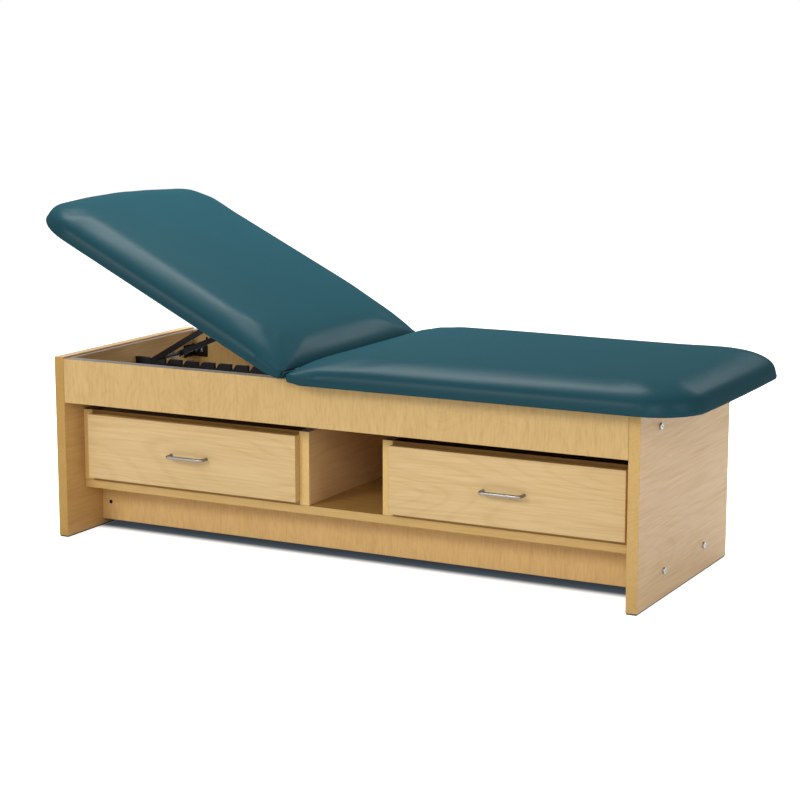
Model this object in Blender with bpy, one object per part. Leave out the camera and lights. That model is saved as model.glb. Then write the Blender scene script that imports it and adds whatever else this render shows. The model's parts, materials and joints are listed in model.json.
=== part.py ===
"""Examination couch with two drawers, an open cubby and a lifting backrest.

Metres, +Z up. The head end points to -X and the drawers face -Y. The couch stands on Z = 0,
with its backrest raised on the rack, and the origin lies under the middle of its bounding box.
"""

import math

import bmesh
import bpy
from mathutils import Vector

# Base: two end panels joined by aprons, rails and kickboards
BASE_LENGTH = 1.546
BASE_DEPTH = 0.586
BASE_HEIGHT = 0.457
BOARD = 0.027
FLOOR_STRIP = 0.003
STRIP_INSET = 0.0015
APRON_HEIGHT = 0.1105
RAIL_DROP = 0.0035
CROSS_RAIL_BOARD = 0.0135
KICK_RECESS = 0.0715
KICK_LIFT = 0.018
BOARD_EDGE_ROUND = 0.0012

# Drawer case standing on the shelf
CASE_RECESS = 0.077
CASE_HEADROOM = 0.027
CASE_TOP_BOARD = 0.016
CASE_BACK_BOARD = 0.006
SHELF_LIFT = 0.115
SHELF_BOARD = 0.0205
CUBBY_WIDTH = 0.198
CUBBY_SHIFT = 0.007

# Drawers
FRONT_BOARD = 0.020
FRONT_HEADROOM = 0.009
FRONT_LIFT = 0.0095
FRONT_OVERLAP = 0.001
BOX_BOARD = 0.012
BOX_BACK_GAP = 0.052
BOX_HEADROOM = 0.0334
BOX_SIDE_GAP = 0.010
BOX_FLOOR = 0.006
RUNNER_WIDTH = 0.046
RUNNER_HEIGHT = 0.012
RUNNER_END = 0.005
RUNNER_SHEET = 0.002
RUNNER_PLAY = 0.0006
HANDLE_CENTRES = 0.1016
HANDLE_WIRE = 0.008
HANDLE_REACH = 0.024
HANDLE_BEND = 0.009

# Fasteners and corner braces
BOLT_SHANK = 0.008
BOLT_HEAD = 0.016
BOLT_HEAD_HEIGHT = 0.004
BOLT_CROWN = 0.0115
BOLT_RIM = 0.0024
BOLT_SIDES = 12
BOLT_HOLE_PLAY = 0.0008
UPPER_BOLT_INSET = 0.1205
UPPER_BOLT_DROP = 0.0535
LOWER_BOLT_HEIGHT = 0.064
NUT_WIDTH = 0.014
NUT_HEIGHT = 0.0065
BOLT_TAIL = 0.007
BARREL_DIAMETER = 0.010
BARREL_DEPTH = 0.0255
BRACE_LEG = 0.046
BRACE_HEIGHT = 0.033
BRACE_SHEET = 0.003

# Pads: plywood decks wrapped in foam and vinyl
PAD_WIDTH = 0.700
SEAT_LENGTH = 0.9876
BACK_LENGTH = 0.794
SEAT_BOW = 0.003
BACK_BOW = 0.014
PAD_THICKNESS = 0.056
PAD_CROWN = 0.0055
PAD_CORNER = 0.120
PAD_HINGE_CORNER = 0.012
PAD_EDGE = 0.092
PAD_EDGE_POWER = 2.0
PAD_HINGE_ROUND = 0.026
PAD_HINGE_SOFTNESS = 0.065
PAD_EDGE_STEPS = 8
PAD_CORNER_STEPS = 8
PAD_HINGE_CORNER_STEPS = 4
PAD_BULGE_HEIGHT = 0.012
PAD_HINGE_BULGE = 0.003
PAD_OVERHANG = 0.0075
PAD_UNDERCUT = 0.006
PAD_LIP = 0.013
PAD_SHOULDER = 0.030
RIM_STEP = 0.001
DECK_BOARD = 0.016
DECK_CORNER = 0.004
HINGE_X = -0.0842
HINGE_GAP = 0.0052
RAISE_LIMIT = math.radians(60)

# Backrest hinge along the whole width of the decks
LEAF_SHEET = 0.002
LEAF_MARGIN = 0.001
KNUCKLE_DIAMETER = 0.009
HINGE_PIN = 0.004
HINGE_MARGIN = 0.070
KNUCKLE_COUNT = 9
KNUCKLE_SHOULDER = 0.003
HINGE_PLAY = 0.0004
MID_RAIL_SETBACK = 0.004

# Backrest support: a wishbone prop whose foot rod steps along a toothed rack
REST_ANGLE = math.radians(26.4)
PROP_REACH = 0.2671
PROP_DROP = 0.011
PROP_LENGTH = 0.3335
PROP_ANGLE = math.radians(25.3)
PROP_MARGIN = 0.140
PROP_FOOT_SPREAD = 0.129
PROP_BAR_WIDTH = 0.014
PROP_BAR_SHEET = 0.006
PROP_STRAIGHT = 0.012
FOOT_ROD = 0.009
PIVOT_PIN = 0.008
BRACKET_SHEET = 0.004
BRACKET_LENGTH = 0.056
BRACKET_FLANGE = 0.026
RACK_SHEET = 0.010
RACK_HEIGHT = 0.036
RACK_PITCH = 0.050
RACK_TOOTH = 0.014
RACK_LAND = 0.008
RACK_NOTCH = 0.012
RACK_CLEARANCE = 0.0012

# Gap that touching pieces keep
SEAT = 0.0003

# Places worked out from the sizes above
INNER_X = BASE_LENGTH / 2 - BOARD
INNER_Y = BASE_DEPTH / 2 - BOARD
RAIL_TOP = BASE_HEIGHT - RAIL_DROP
RAIL_FACE_X = INNER_X - SEAT - CROSS_RAIL_BOARD
CASE_DEPTH = BASE_DEPTH - 2 * CASE_RECESS
CASE_FRONT_Y = -CASE_DEPTH / 2
KICK_SPREAD = CASE_DEPTH - 2 * KICK_RECESS - BOARD
SHELF_TOP = SHELF_LIFT + SHELF_BOARD
CASE_TOP = RAIL_TOP - APRON_HEIGHT - CASE_HEADROOM
CASE_HEIGHT = CASE_TOP - SHELF_LIFT
FRONT_HEIGHT = CASE_TOP - SHELF_TOP - FRONT_LIFT - FRONT_HEADROOM
BOX_DEPTH = CASE_DEPTH - BOX_BACK_GAP
BOX_FLOOR_LIFT = SEAT + RUNNER_HEIGHT + SEAT
BOX_HEIGHT = CASE_HEIGHT - SHELF_BOARD - CASE_TOP_BOARD - BOX_HEADROOM - BOX_FLOOR_LIFT + BOX_FLOOR
RUNNER_LENGTH = BOX_DEPTH - 2 * RUNNER_END
UPPER_BOLT_HEIGHT = RAIL_TOP - UPPER_BOLT_DROP
UPPER_BOLT_SPREAD = BASE_DEPTH - 2 * UPPER_BOLT_INSET
HINGE_LENGTH = PAD_WIDTH - 2 * HINGE_MARGIN
PROP_TOP_SPREAD = PAD_WIDTH - 2 * PROP_MARGIN
HINGE_Z = BASE_HEIGHT + SEAT + DECK_BOARD
LEAF_X = KNUCKLE_DIAMETER / 2 + 2 * HINGE_PLAY
DECK_END = LEAF_X + LEAF_SHEET + SEAT

WOOD = ((0.72, 0.52, 0.28, 1.0), 0.45, 0.0)
CASE_WOOD = ((0.66, 0.46, 0.24, 1.0), 0.5, 0.0)
PLYWOOD = ((0.55, 0.40, 0.24, 1.0), 0.7, 0.0)
DARK_BACKING = ((0.03, 0.025, 0.022, 1.0), 0.6, 0.0)
VINYL = ((0.03, 0.11, 0.14, 1.0), 0.35, 0.0)
BLACK_STEEL = ((0.012, 0.012, 0.013, 1.0), 0.5, 0.6)
ZINC_STEEL = ((0.62, 0.63, 0.64, 1.0), 0.3, 1.0)
NICKEL = ((0.60, 0.59, 0.57, 1.0), 0.32, 1.0)
DARK_STRIP = ((0.03, 0.03, 0.032, 1.0), 0.6, 0.0)


def clear_scene():
    for old in list(bpy.data.objects):
        bpy.data.objects.remove(old, do_unlink=True)


def make_empty(name, parent=None, location=(0, 0, 0), turn_y=0.0):
    empty = bpy.data.objects.new(name, None)
    bpy.context.collection.objects.link(empty)
    empty.parent = parent
    empty.location = location
    empty.rotation_euler = (0, turn_y, 0)
    return empty


def add_finish(piece, finish):
    colour, roughness, metallic = finish
    material = bpy.data.materials.new(piece.name + "_finish")
    material.use_nodes = True
    shader = material.node_tree.nodes["Principled BSDF"]
    shader.inputs["Base Color"].default_value = colour
    shader.inputs["Roughness"].default_value = roughness
    shader.inputs["Metallic"].default_value = metallic
    piece.data.materials.append(material)


def make_piece(name, mesh_builder, finish, parent, location=(0, 0, 0), smooth=False):
    """Turn a bmesh into a named object with its own finish."""
    bmesh.ops.recalc_face_normals(mesh_builder, faces=mesh_builder.faces)
    mesh = bpy.data.meshes.new(name)
    mesh_builder.to_mesh(mesh)
    mesh_builder.free()
    if smooth:
        mesh.shade_smooth()
        mesh.set_sharp_from_angle(angle=math.radians(40))
    piece = bpy.data.objects.new(name, mesh)
    bpy.context.collection.objects.link(piece)
    piece.parent = parent
    piece.location = location
    add_finish(piece, finish)
    return piece


def box_mesh(size, edge_round=0.0, centre=(0, 0, 0)):
    builder = bmesh.new()
    bmesh.ops.create_cube(builder, size=1.0)
    bmesh.ops.scale(builder, vec=size, verts=builder.verts)
    if edge_round:
        bmesh.ops.bevel(builder, geom=builder.edges[:], offset=edge_round, segments=2,
                        profile=0.5, affect="EDGES")
    bmesh.ops.translate(builder, vec=centre, verts=builder.verts)
    return builder


def make_board(name, size, centre, finish, parent, edge_round=BOARD_EDGE_ROUND):
    return make_piece(name, box_mesh(size, edge_round), finish, parent, centre)


def turned_mesh(profile, axis, sides=16):
    """Closed solid turned about an axis; profile holds (distance along the axis, radius)."""
    builder = bmesh.new()
    rings = []
    for along, radius in profile:
        ring = []
        for step in range(sides):
            angle = 2 * math.pi * step / sides
            ring.append(builder.verts.new((radius * math.cos(angle), radius * math.sin(angle), along)))
        rings.append(ring)
    for low, high in zip(rings, rings[1:]):
        for step in range(sides):
            after = (step + 1) % sides
            builder.faces.new((low[step], low[after], high[after], high[step]))
    builder.faces.new(rings[0][::-1])
    builder.faces.new(rings[-1])
    turn = Vector((0, 0, 1)).rotation_difference(Vector(axis)).to_matrix()
    bmesh.ops.rotate(builder, matrix=turn, verts=builder.verts)
    return builder


def rod_mesh(length, diameter, axis):
    """Plain round bar, centred on the origin."""
    return turned_mesh([(-length / 2, diameter / 2), (length / 2, diameter / 2)], axis)


def prism_mesh(outline, thickness, plane="XZ"):
    """Flat outline extruded evenly to both sides of its plane."""
    builder = bmesh.new()
    corners = []
    for first, second in outline:
        place = (first, -thickness / 2, second) if plane == "XZ" else (first, second, -thickness / 2)
        corners.append(builder.verts.new(place))
    face = builder.faces.new(corners)
    extruded = bmesh.ops.extrude_face_region(builder, geom=[face])
    moved = [item for item in extruded["geom"] if isinstance(item, bmesh.types.BMVert)]
    shift = (0, thickness, 0) if plane == "XZ" else (0, 0, thickness)
    bmesh.ops.translate(builder, vec=shift, verts=moved)
    return builder


def combine(piece, builder, operation, location=(0, 0, 0)):
    """Cut a shape out of a piece, or join one to it, in the piece's own frame."""
    tool = make_piece(piece.name + "_tool", builder, DARK_STRIP, piece, location)
    tool.hide_render = True
    tool.display_type = "WIRE"
    step = piece.modifiers.new(tool.name, "BOOLEAN")
    step.operation = operation
    step.solver = "EXACT"
    step.object = tool


def drill(piece, centre, axis, diameter, length):
    """Round hole, centred on a point of the piece's own frame."""
    combine(piece, rod_mesh(length, diameter, axis), "DIFFERENCE", centre)


def build_end_panels(couch):
    height = BASE_HEIGHT - FLOOR_STRIP - SEAT
    middle = FLOOR_STRIP + SEAT + height / 2
    for side, end in ((-1, "head"), (1, "foot")):
        x = side * (BASE_LENGTH - BOARD) / 2
        panel = make_board(end + "_end_panel", (BOARD, BASE_DEPTH, height), (x, 0, middle), WOOD, couch)
        for across in (-1, 1):
            for spread, level in ((UPPER_BOLT_SPREAD, UPPER_BOLT_HEIGHT), (KICK_SPREAD, LOWER_BOLT_HEIGHT)):
                drill(panel, (0, across * spread / 2, level - middle), (1, 0, 0),
                      BOLT_SHANK + BOLT_HOLE_PLAY, 2 * BOARD)
        strip = (BOARD - 2 * STRIP_INSET, BASE_DEPTH - 2 * STRIP_INSET, FLOOR_STRIP)
        make_board(end + "_floor_strip", strip, (x, 0, FLOOR_STRIP / 2), DARK_STRIP, couch, 0.0)


def build_top_frame(couch):
    apron_length = 2 * (INNER_X - SEAT)
    rail_length = 2 * (INNER_Y - SEAT)
    for side, place in ((-1, "front"), (1, "back")):
        make_board(place + "_apron", (apron_length, BOARD, APRON_HEIGHT),
                   (0, side * (BASE_DEPTH - BOARD) / 2, RAIL_TOP - APRON_HEIGHT / 2), WOOD, couch)
    for side, end in ((-1, "head"), (1, "foot")):
        x = side * (RAIL_FACE_X + CROSS_RAIL_BOARD / 2)
        middle = RAIL_TOP - APRON_HEIGHT / 2
        rail = make_board(end + "_cross_rail", (CROSS_RAIL_BOARD, rail_length, APRON_HEIGHT),
                          (x, 0, middle), WOOD, couch)
        for across in (-1, 1):
            drill(rail, (0, across * UPPER_BOLT_SPREAD / 2, UPPER_BOLT_HEIGHT - middle), (1, 0, 0),
                  BOLT_SHANK + BOLT_HOLE_PLAY, 2 * CROSS_RAIL_BOARD)
    mid_height = APRON_HEIGHT + RAIL_DROP
    make_board("mid_cross_rail", (BOARD, rail_length, mid_height),
               (HINGE_X + MID_RAIL_SETBACK + BOARD / 2, 0, BASE_HEIGHT - mid_height / 2), WOOD, couch)


def build_corner_braces(couch):
    """Bent steel angles that tie the cross rails to the aprons."""
    for side_x, end in ((-1, "head"), (1, "foot")):
        for side_y, place in ((-1, "front"), (1, "back")):
            outline = [(0, 0), (BRACE_LEG, 0), (BRACE_LEG, BRACE_SHEET), (BRACE_SHEET, BRACE_SHEET),
                       (BRACE_SHEET, BRACE_LEG), (0, BRACE_LEG)]
            corner = [(-side_x * along, -side_y * across) for along, across in outline]
            place_at = (side_x * (RAIL_FACE_X - SEAT), side_y * (INNER_Y - SEAT), UPPER_BOLT_HEIGHT)
            make_piece(end + "_" + place + "_brace", prism_mesh(corner, BRACE_HEIGHT, "XY"),
                       BLACK_STEEL, couch, place_at)


def build_case(couch):
    """Shelf, upright boards, drawer tops, back and the kickboards under the shelf."""
    width = 2 * (INNER_X - SEAT)
    make_board("shelf", (width, CASE_DEPTH, SHELF_BOARD), (0, 0, SHELF_LIFT + SHELF_BOARD / 2),
               CASE_WOOD, couch)
    upright = CASE_TOP - SHELF_TOP - SEAT
    upright_z = CASE_TOP - upright / 2
    for name, x in (("head_case_side", -(INNER_X - SEAT - BOARD / 2)),
                    ("head_divider", CUBBY_SHIFT - (CUBBY_WIDTH + BOARD) / 2),
                    ("foot_divider", CUBBY_SHIFT + (CUBBY_WIDTH + BOARD) / 2),
                    ("foot_case_side", INNER_X - SEAT - BOARD / 2)):
        make_board(name, (BOARD, CASE_DEPTH, upright), (x, 0, upright_z), CASE_WOOD, couch)
    for end in ("head", "foot"):
        left, right = drawer_opening(end)
        make_board(end + "_case_top", (right - left - 2 * SEAT, CASE_DEPTH, CASE_TOP_BOARD),
                   ((left + right) / 2, 0, CASE_TOP - CASE_TOP_BOARD / 2), DARK_BACKING, couch)
    back_y = CASE_DEPTH / 2 + SEAT + CASE_BACK_BOARD / 2
    make_board("case_back", (width, CASE_BACK_BOARD, CASE_HEIGHT),
               (0, back_y, SHELF_LIFT + CASE_HEIGHT / 2), CASE_WOOD, couch)
    kick_height = SHELF_LIFT - SEAT - KICK_LIFT
    kick_z = KICK_LIFT + kick_height / 2
    for side, place in ((-1, "front"), (1, "back")):
        kick = make_board(place + "_kickboard", (width, BOARD, kick_height),
                          (0, side * KICK_SPREAD / 2, kick_z), WOOD, couch)
        for end_side in (-1, 1):
            level = LOWER_BOLT_HEIGHT - kick_z
            drill(kick, (end_side * width / 2, 0, level), (1, 0, 0), BOLT_SHANK + BOLT_HOLE_PLAY,
                  2 * BARREL_DEPTH)
            drill(kick, (end_side * (INNER_X - BARREL_DEPTH), 0, level), (0, 1, 0),
                  BARREL_DIAMETER + BOLT_HOLE_PLAY, 2 * BOARD)


def drawer_opening(end):
    """Left and right faces between which a drawer runs."""
    if end == "head":
        return -(INNER_X - SEAT - BOARD), CUBBY_SHIFT - CUBBY_WIDTH / 2 - BOARD
    return CUBBY_SHIFT + CUBBY_WIDTH / 2 + BOARD, INNER_X - SEAT - BOARD


def build_bolts(couch):
    """Through bolts with nuts for the cross rails, and bolts with barrel nuts for the kickboards."""
    shank = BOLT_SHANK / 2
    grip = BOARD + SEAT + CROSS_RAIL_BOARD + 2 * SEAT
    for side_x, end in ((-1, "head"), (1, "foot")):
        outer = side_x * BASE_LENGTH / 2
        inward = (-side_x, 0, 0)
        for side_y, place in ((-1, "front"), (1, "back")):
            head = [(-SEAT - BOLT_HEAD_HEIGHT, BOLT_CROWN / 2), (-SEAT - BOLT_RIM, BOLT_HEAD / 2),
                    (-SEAT, BOLT_HEAD / 2), (-SEAT, shank)]
            nut = [(grip, shank), (grip, NUT_WIDTH / 2), (grip + NUT_HEIGHT, NUT_WIDTH / 2),
                   (grip + NUT_HEIGHT, shank), (grip + NUT_HEIGHT + BOLT_TAIL, shank)]
            make_piece(end + "_" + place + "_upper_bolt", turned_mesh(head + nut, inward, BOLT_SIDES),
                       ZINC_STEEL, couch, (outer, side_y * UPPER_BOLT_SPREAD / 2, UPPER_BOLT_HEIGHT),
                       smooth=True)
            screw = head + [(BOARD + BARREL_DEPTH, shank)]
            bolt = make_piece(end + "_" + place + "_lower_bolt", turned_mesh(screw, inward, BOLT_SIDES),
                              ZINC_STEEL, couch, (outer, side_y * KICK_SPREAD / 2, LOWER_BOLT_HEIGHT),
                              smooth=True)
            barrel = rod_mesh(BOARD - 2 * SEAT, BARREL_DIAMETER, (0, 1, 0))
            combine(bolt, barrel, "UNION", (-side_x * (BOARD + BARREL_DEPTH), 0, 0))


def drawer_box_sizes(end):
    left, right = drawer_opening(end)
    outer = right - left - 2 * BOX_SIDE_GAP
    return outer, outer - 2 * BOX_BOARD


def build_drawer(couch, end):
    left, right = drawer_opening(end)
    outer, inner = drawer_box_sizes(end)
    drawer = make_empty(end + "_drawer", couch, ((left + right) / 2, CASE_FRONT_Y, SHELF_TOP))
    front_y = -SEAT - FRONT_BOARD / 2
    front_z = FRONT_LIFT + FRONT_HEIGHT / 2
    make_board(end + "_drawer_front", (right - left + 2 * FRONT_OVERLAP, FRONT_BOARD, FRONT_HEIGHT),
               (0, front_y, front_z), WOOD, drawer)
    box_z = BOX_FLOOR_LIFT + BOX_HEIGHT / 2 - BOX_FLOOR
    for side, hand in ((-1, "left"), (1, "right")):
        make_board(end + "_drawer_" + hand + "_side", (BOX_BOARD, BOX_DEPTH, BOX_HEIGHT),
                   (side * (outer - BOX_BOARD) / 2, BOX_DEPTH / 2, box_z), CASE_WOOD, drawer)
    back_width = inner - 2 * SEAT
    back_height = BOX_HEIGHT - BOX_FLOOR
    make_board(end + "_drawer_back", (back_width, BOX_BOARD, back_height),
               (0, BOX_DEPTH - BOX_BOARD / 2, BOX_FLOOR_LIFT + back_height / 2), CASE_WOOD, drawer)
    floor_depth = BOX_DEPTH - BOX_BOARD - SEAT
    make_board(end + "_drawer_floor", (back_width, floor_depth, BOX_FLOOR),
               (0, floor_depth / 2, BOX_FLOOR_LIFT + BOX_FLOOR / 2), CASE_WOOD, drawer, 0.0)
    build_runner(couch, drawer, end)
    build_handle(drawer, end, front_y - FRONT_BOARD / 2 - SEAT, front_z)


def build_runner(couch, drawer, end):
    """Channel on the shelf and the slide bar under the drawer floor that runs in it."""
    wall = RUNNER_HEIGHT - RUNNER_SHEET
    half = RUNNER_WIDTH / 2
    channel = [(-half, 0), (half, 0), (half, wall), (half - RUNNER_SHEET, wall),
               (half - RUNNER_SHEET, RUNNER_SHEET), (-half + RUNNER_SHEET, RUNNER_SHEET),
               (-half + RUNNER_SHEET, wall), (-half, wall)]
    x, y, z = drawer.location
    middle_y = y + BOX_DEPTH / 2
    make_piece(end + "_runner_channel", prism_mesh(channel, RUNNER_LENGTH), ZINC_STEEL, couch,
               (x, middle_y, z + SEAT))
    bar_height = RUNNER_HEIGHT - RUNNER_SHEET - RUNNER_PLAY
    bar_width = RUNNER_WIDTH - 2 * RUNNER_SHEET - 2 * RUNNER_PLAY
    make_board(end + "_runner_bar", (bar_width, RUNNER_LENGTH, bar_height),
               (0, BOX_DEPTH / 2, SEAT + RUNNER_HEIGHT - bar_height / 2), ZINC_STEEL, drawer, 0.0)


def build_handle(drawer, end, face_y, level):
    """Bent wire pull, its two feet on the drawer front."""
    path = [(-HANDLE_CENTRES / 2, 0.0)]
    for side, angles in ((-1, range(0, 91, 15)), (1, range(90, 181, 15))):
        centre = side * (HANDLE_CENTRES / 2 - HANDLE_BEND)
        for degrees in angles:
            angle = math.radians(degrees)
            path.append((centre - HANDLE_BEND * math.cos(angle),
                         -HANDLE_REACH + HANDLE_BEND - HANDLE_BEND * math.sin(angle)))
    path.append((HANDLE_CENTRES / 2, 0.0))
    curve = bpy.data.curves.new(end + "_drawer_handle", "CURVE")
    curve.dimensions = "3D"
    curve.bevel_depth = HANDLE_WIRE / 2
    curve.bevel_resolution = 3
    curve.use_fill_caps = True
    spline = curve.splines.new("POLY")
    spline.points.add(len(path) - 1)
    for point, (x, y) in zip(spline.points, path):
        point.co = (x, y, 0, 1)
    handle = bpy.data.objects.new(end + "_drawer_handle", curve)
    bpy.context.collection.objects.link(handle)
    handle.parent = drawer
    handle.location = (0, face_y, level)
    add_finish(handle, NICKEL)


def corner_arc(x, y, radius, start, steps):
    """Quarter round between two sides that would meet at (x, y), counted in degrees from +X."""
    middle_x = x + radius if start in (90, 180) else x - radius
    middle_y = y - math.copysign(radius, y)
    points = []
    for step in range(steps + 1):
        angle = math.radians(start + 90 * step / steps)
        points.append((middle_x + radius * math.cos(angle), middle_y + radius * math.sin(angle)))
    return points


def pad_loop(length, bow, lift, side_inset, side_z, corner_z, hinge_inset, hinge_z):
    """One level of a pad about the hinge axis, drawn in from its widest plan.

    Its long sides and far end lie at side_z, its hinge corners at corner_z and the end above
    the deck at hinge_z. The hinge corners grow rounder with lift, and the far end bows out.
    """
    far = length - side_inset
    near = HINGE_GAP + hinge_inset
    half = PAD_WIDTH / 2 - side_inset
    far_corner = max(PAD_CORNER - side_inset, PAD_HINGE_CORNER)
    near_corner = max(PAD_HINGE_CORNER - side_inset, PAD_HINGE_CORNER / 10) + PAD_HINGE_SOFTNESS * lift
    rim = min(PAD_WIDTH / 2 - PAD_LIP - 2 * RIM_STEP, half - near_corner - RIM_STEP)
    loop = [(x, y, side_z) for x, y in corner_arc(far, half, far_corner, 0, PAD_CORNER_STEPS)]
    loop.append((near + near_corner + PAD_SHOULDER, half, side_z))
    loop += [(x, y, corner_z) for x, y in corner_arc(near, half, near_corner, 90, PAD_HINGE_CORNER_STEPS)]
    loop += [(near, rim, corner_z), (near, rim - RIM_STEP, hinge_z)]
    loop += [(near, RIM_STEP - rim, hinge_z), (near, -rim, corner_z)]
    loop += [(x, y, corner_z) for x, y in corner_arc(near, -half, near_corner, 180, PAD_HINGE_CORNER_STEPS)]
    loop.append((near + near_corner + PAD_SHOULDER, -half, side_z))
    loop += [(x, y, side_z) for x, y in corner_arc(far, -half, far_corner, 270, PAD_CORNER_STEPS)]
    for share in (-0.5, 0.0, 0.5):
        loop.append((far + bow * (1 - share * share), share * (half - far_corner), side_z))
    return [(x, y, z - DECK_BOARD) for x, y, z in loop]


def hinge_end_inset(level):
    """How far the end of a pad leans back from the hinge, so that two pads clear each other when raised."""
    lean = RIM_STEP + (level - DECK_BOARD) * math.tan(RAISE_LIMIT / 2) - HINGE_GAP
    above = max(0.0, level - (PAD_THICKNESS - PAD_HINGE_ROUND)) / PAD_HINGE_ROUND
    return max(0.0, lean) + PAD_HINGE_ROUND * (1 - math.sqrt(max(0.0, 1 - above * above)))


def pad_mesh(length, bow, direction):
    """Crowned pad with drawn-in sides, hollow underneath where the deck sits.

    It runs along direction from the hinge axis. At the hinge its foam ends above the deck.
    """
    bed = DECK_BOARD + SEAT
    hem = -PAD_OVERHANG
    corner_hem = hem + PAD_UNDERCUT
    hinge_bulge = bed + PAD_HINGE_BULGE
    loops = [pad_loop(length, bow, 0, PAD_LIP, bed, bed, 3 * SEAT, bed),
             pad_loop(length, bow, 0, PAD_LIP, hem, corner_hem, 2 * SEAT, bed),
             pad_loop(length, bow, 0, PAD_UNDERCUT, hem, corner_hem, SEAT, bed)]
    for degrees in (30, 60, 90):
        angle = math.radians(degrees)
        swell = 1 - math.cos(angle)
        loops.append(pad_loop(length, bow, 0, PAD_UNDERCUT * (1 - math.sin(angle)),
                              hem + (PAD_BULGE_HEIGHT - hem) * swell,
                              corner_hem + (PAD_BULGE_HEIGHT - corner_hem) * swell,
                              SEAT * (1 - math.sin(angle)), bed + PAD_HINGE_BULGE * swell))
    for step in range(1, PAD_EDGE_STEPS + 1):
        angle = math.pi / 2 * step / PAD_EDGE_STEPS
        lift = math.sin(angle) ** (2 / PAD_EDGE_POWER)
        side_inset = PAD_EDGE * (1 - math.cos(angle) ** (2 / PAD_EDGE_POWER))
        side_z = PAD_BULGE_HEIGHT + (PAD_THICKNESS - PAD_BULGE_HEIGHT) * lift
        hinge_z = hinge_bulge + (PAD_THICKNESS - hinge_bulge) * lift
        loops.append(pad_loop(length, bow, lift, side_inset, side_z, side_z,
                              hinge_end_inset(hinge_z), hinge_z))
    rim = loops[-1]
    for share in (0.25, 0.5, 0.75):
        rise = PAD_CROWN * (1 - (1 - share) ** 2)
        loops.append([(x + (length / 2 - x) * share, y * (1 - share), z + rise) for x, y, z in rim])
    builder = bmesh.new()
    made = [[builder.verts.new((direction * x, y, z)) for x, y, z in loop] for loop in loops]
    count = len(rim)
    for low, high in zip(made, made[1:]):
        for index in range(count):
            after = (index + 1) % count
            builder.faces.new((low[index], low[after], high[after], high[index]))
    top = builder.verts.new((direction * length / 2, 0, PAD_THICKNESS + PAD_CROWN - DECK_BOARD))
    for index in range(count):
        builder.faces.new((made[-1][index], made[-1][(index + 1) % count], top))
    builder.faces.new(made[0])
    return builder


def deck_mesh(length, direction):
    """Plywood deck inside the rim of its pad, with its top on the level of the hinge axis."""
    far = length - PAD_LIP - SEAT
    half = PAD_WIDTH / 2 - PAD_LIP - SEAT
    far_corner = PAD_CORNER - PAD_LIP - SEAT
    plan = corner_arc(far, half, far_corner, 0, PAD_CORNER_STEPS)
    plan += corner_arc(DECK_END, half, DECK_CORNER, 90, PAD_HINGE_CORNER_STEPS)
    plan += corner_arc(DECK_END, -half, DECK_CORNER, 180, PAD_HINGE_CORNER_STEPS)
    plan += corner_arc(far, -half, far_corner, 270, PAD_CORNER_STEPS)
    builder = prism_mesh([(direction * x, y) for x, y in plan], DECK_BOARD, "XY")
    bmesh.ops.translate(builder, vec=(0, 0, -DECK_BOARD / 2), verts=builder.verts)
    return builder


def build_pads(couch, backrest):
    hinge = (HINGE_X, 0, HINGE_Z)
    make_piece("seat_deck", deck_mesh(SEAT_LENGTH, 1), PLYWOOD, couch, hinge)
    make_piece("seat_cushion", pad_mesh(SEAT_LENGTH, SEAT_BOW, 1), VINYL, couch, hinge, smooth=True)
    make_piece("backrest_deck", deck_mesh(BACK_LENGTH, -1), PLYWOOD, backrest)
    make_piece("backrest_cushion", pad_mesh(BACK_LENGTH, BACK_BOW, -1), VINYL, backrest, smooth=True)


def build_hinge(couch, backrest):
    """Continuous hinge: a leaf on the end of each deck, with knuckles about one pin."""
    pitch = HINGE_LENGTH / KNUCKLE_COUNT
    knuckle = pitch - 2 * HINGE_PLAY
    arm_width = knuckle - 2 * KNUCKLE_SHOULDER
    arm_reach = LEAF_X + LEAF_SHEET / 2
    for name, parent, side, place in (("hinge_seat_leaf", couch, 1, (HINGE_X, 0, HINGE_Z)),
                                      ("hinge_back_leaf", backrest, -1, (0, 0, 0))):
        plate = box_mesh((LEAF_SHEET, HINGE_LENGTH, DECK_BOARD - 2 * LEAF_MARGIN), 0.0,
                         (side * arm_reach, 0, -DECK_BOARD / 2))
        leaf = make_piece(name, plate, ZINC_STEEL, parent, place)
        for index in range(0 if side == 1 else 1, KNUCKLE_COUNT, 2):
            y = (index + 0.5) * pitch - HINGE_LENGTH / 2
            arm = box_mesh((arm_reach, arm_width, LEAF_SHEET), 0.0,
                           (side * arm_reach / 2, 0, -KNUCKLE_DIAMETER / 4))
            combine(leaf, arm, "UNION", (0, y, 0))
            combine(leaf, rod_mesh(knuckle, KNUCKLE_DIAMETER, (0, 1, 0)), "UNION", (0, y, 0))
        if side == 1:
            combine(leaf, rod_mesh(HINGE_LENGTH, HINGE_PIN, (0, 1, 0)), "UNION")
        else:
            drill(leaf, (0, 0, 0), (0, 1, 0), HINGE_PIN + 2 * HINGE_PLAY, 2 * HINGE_LENGTH)


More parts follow.
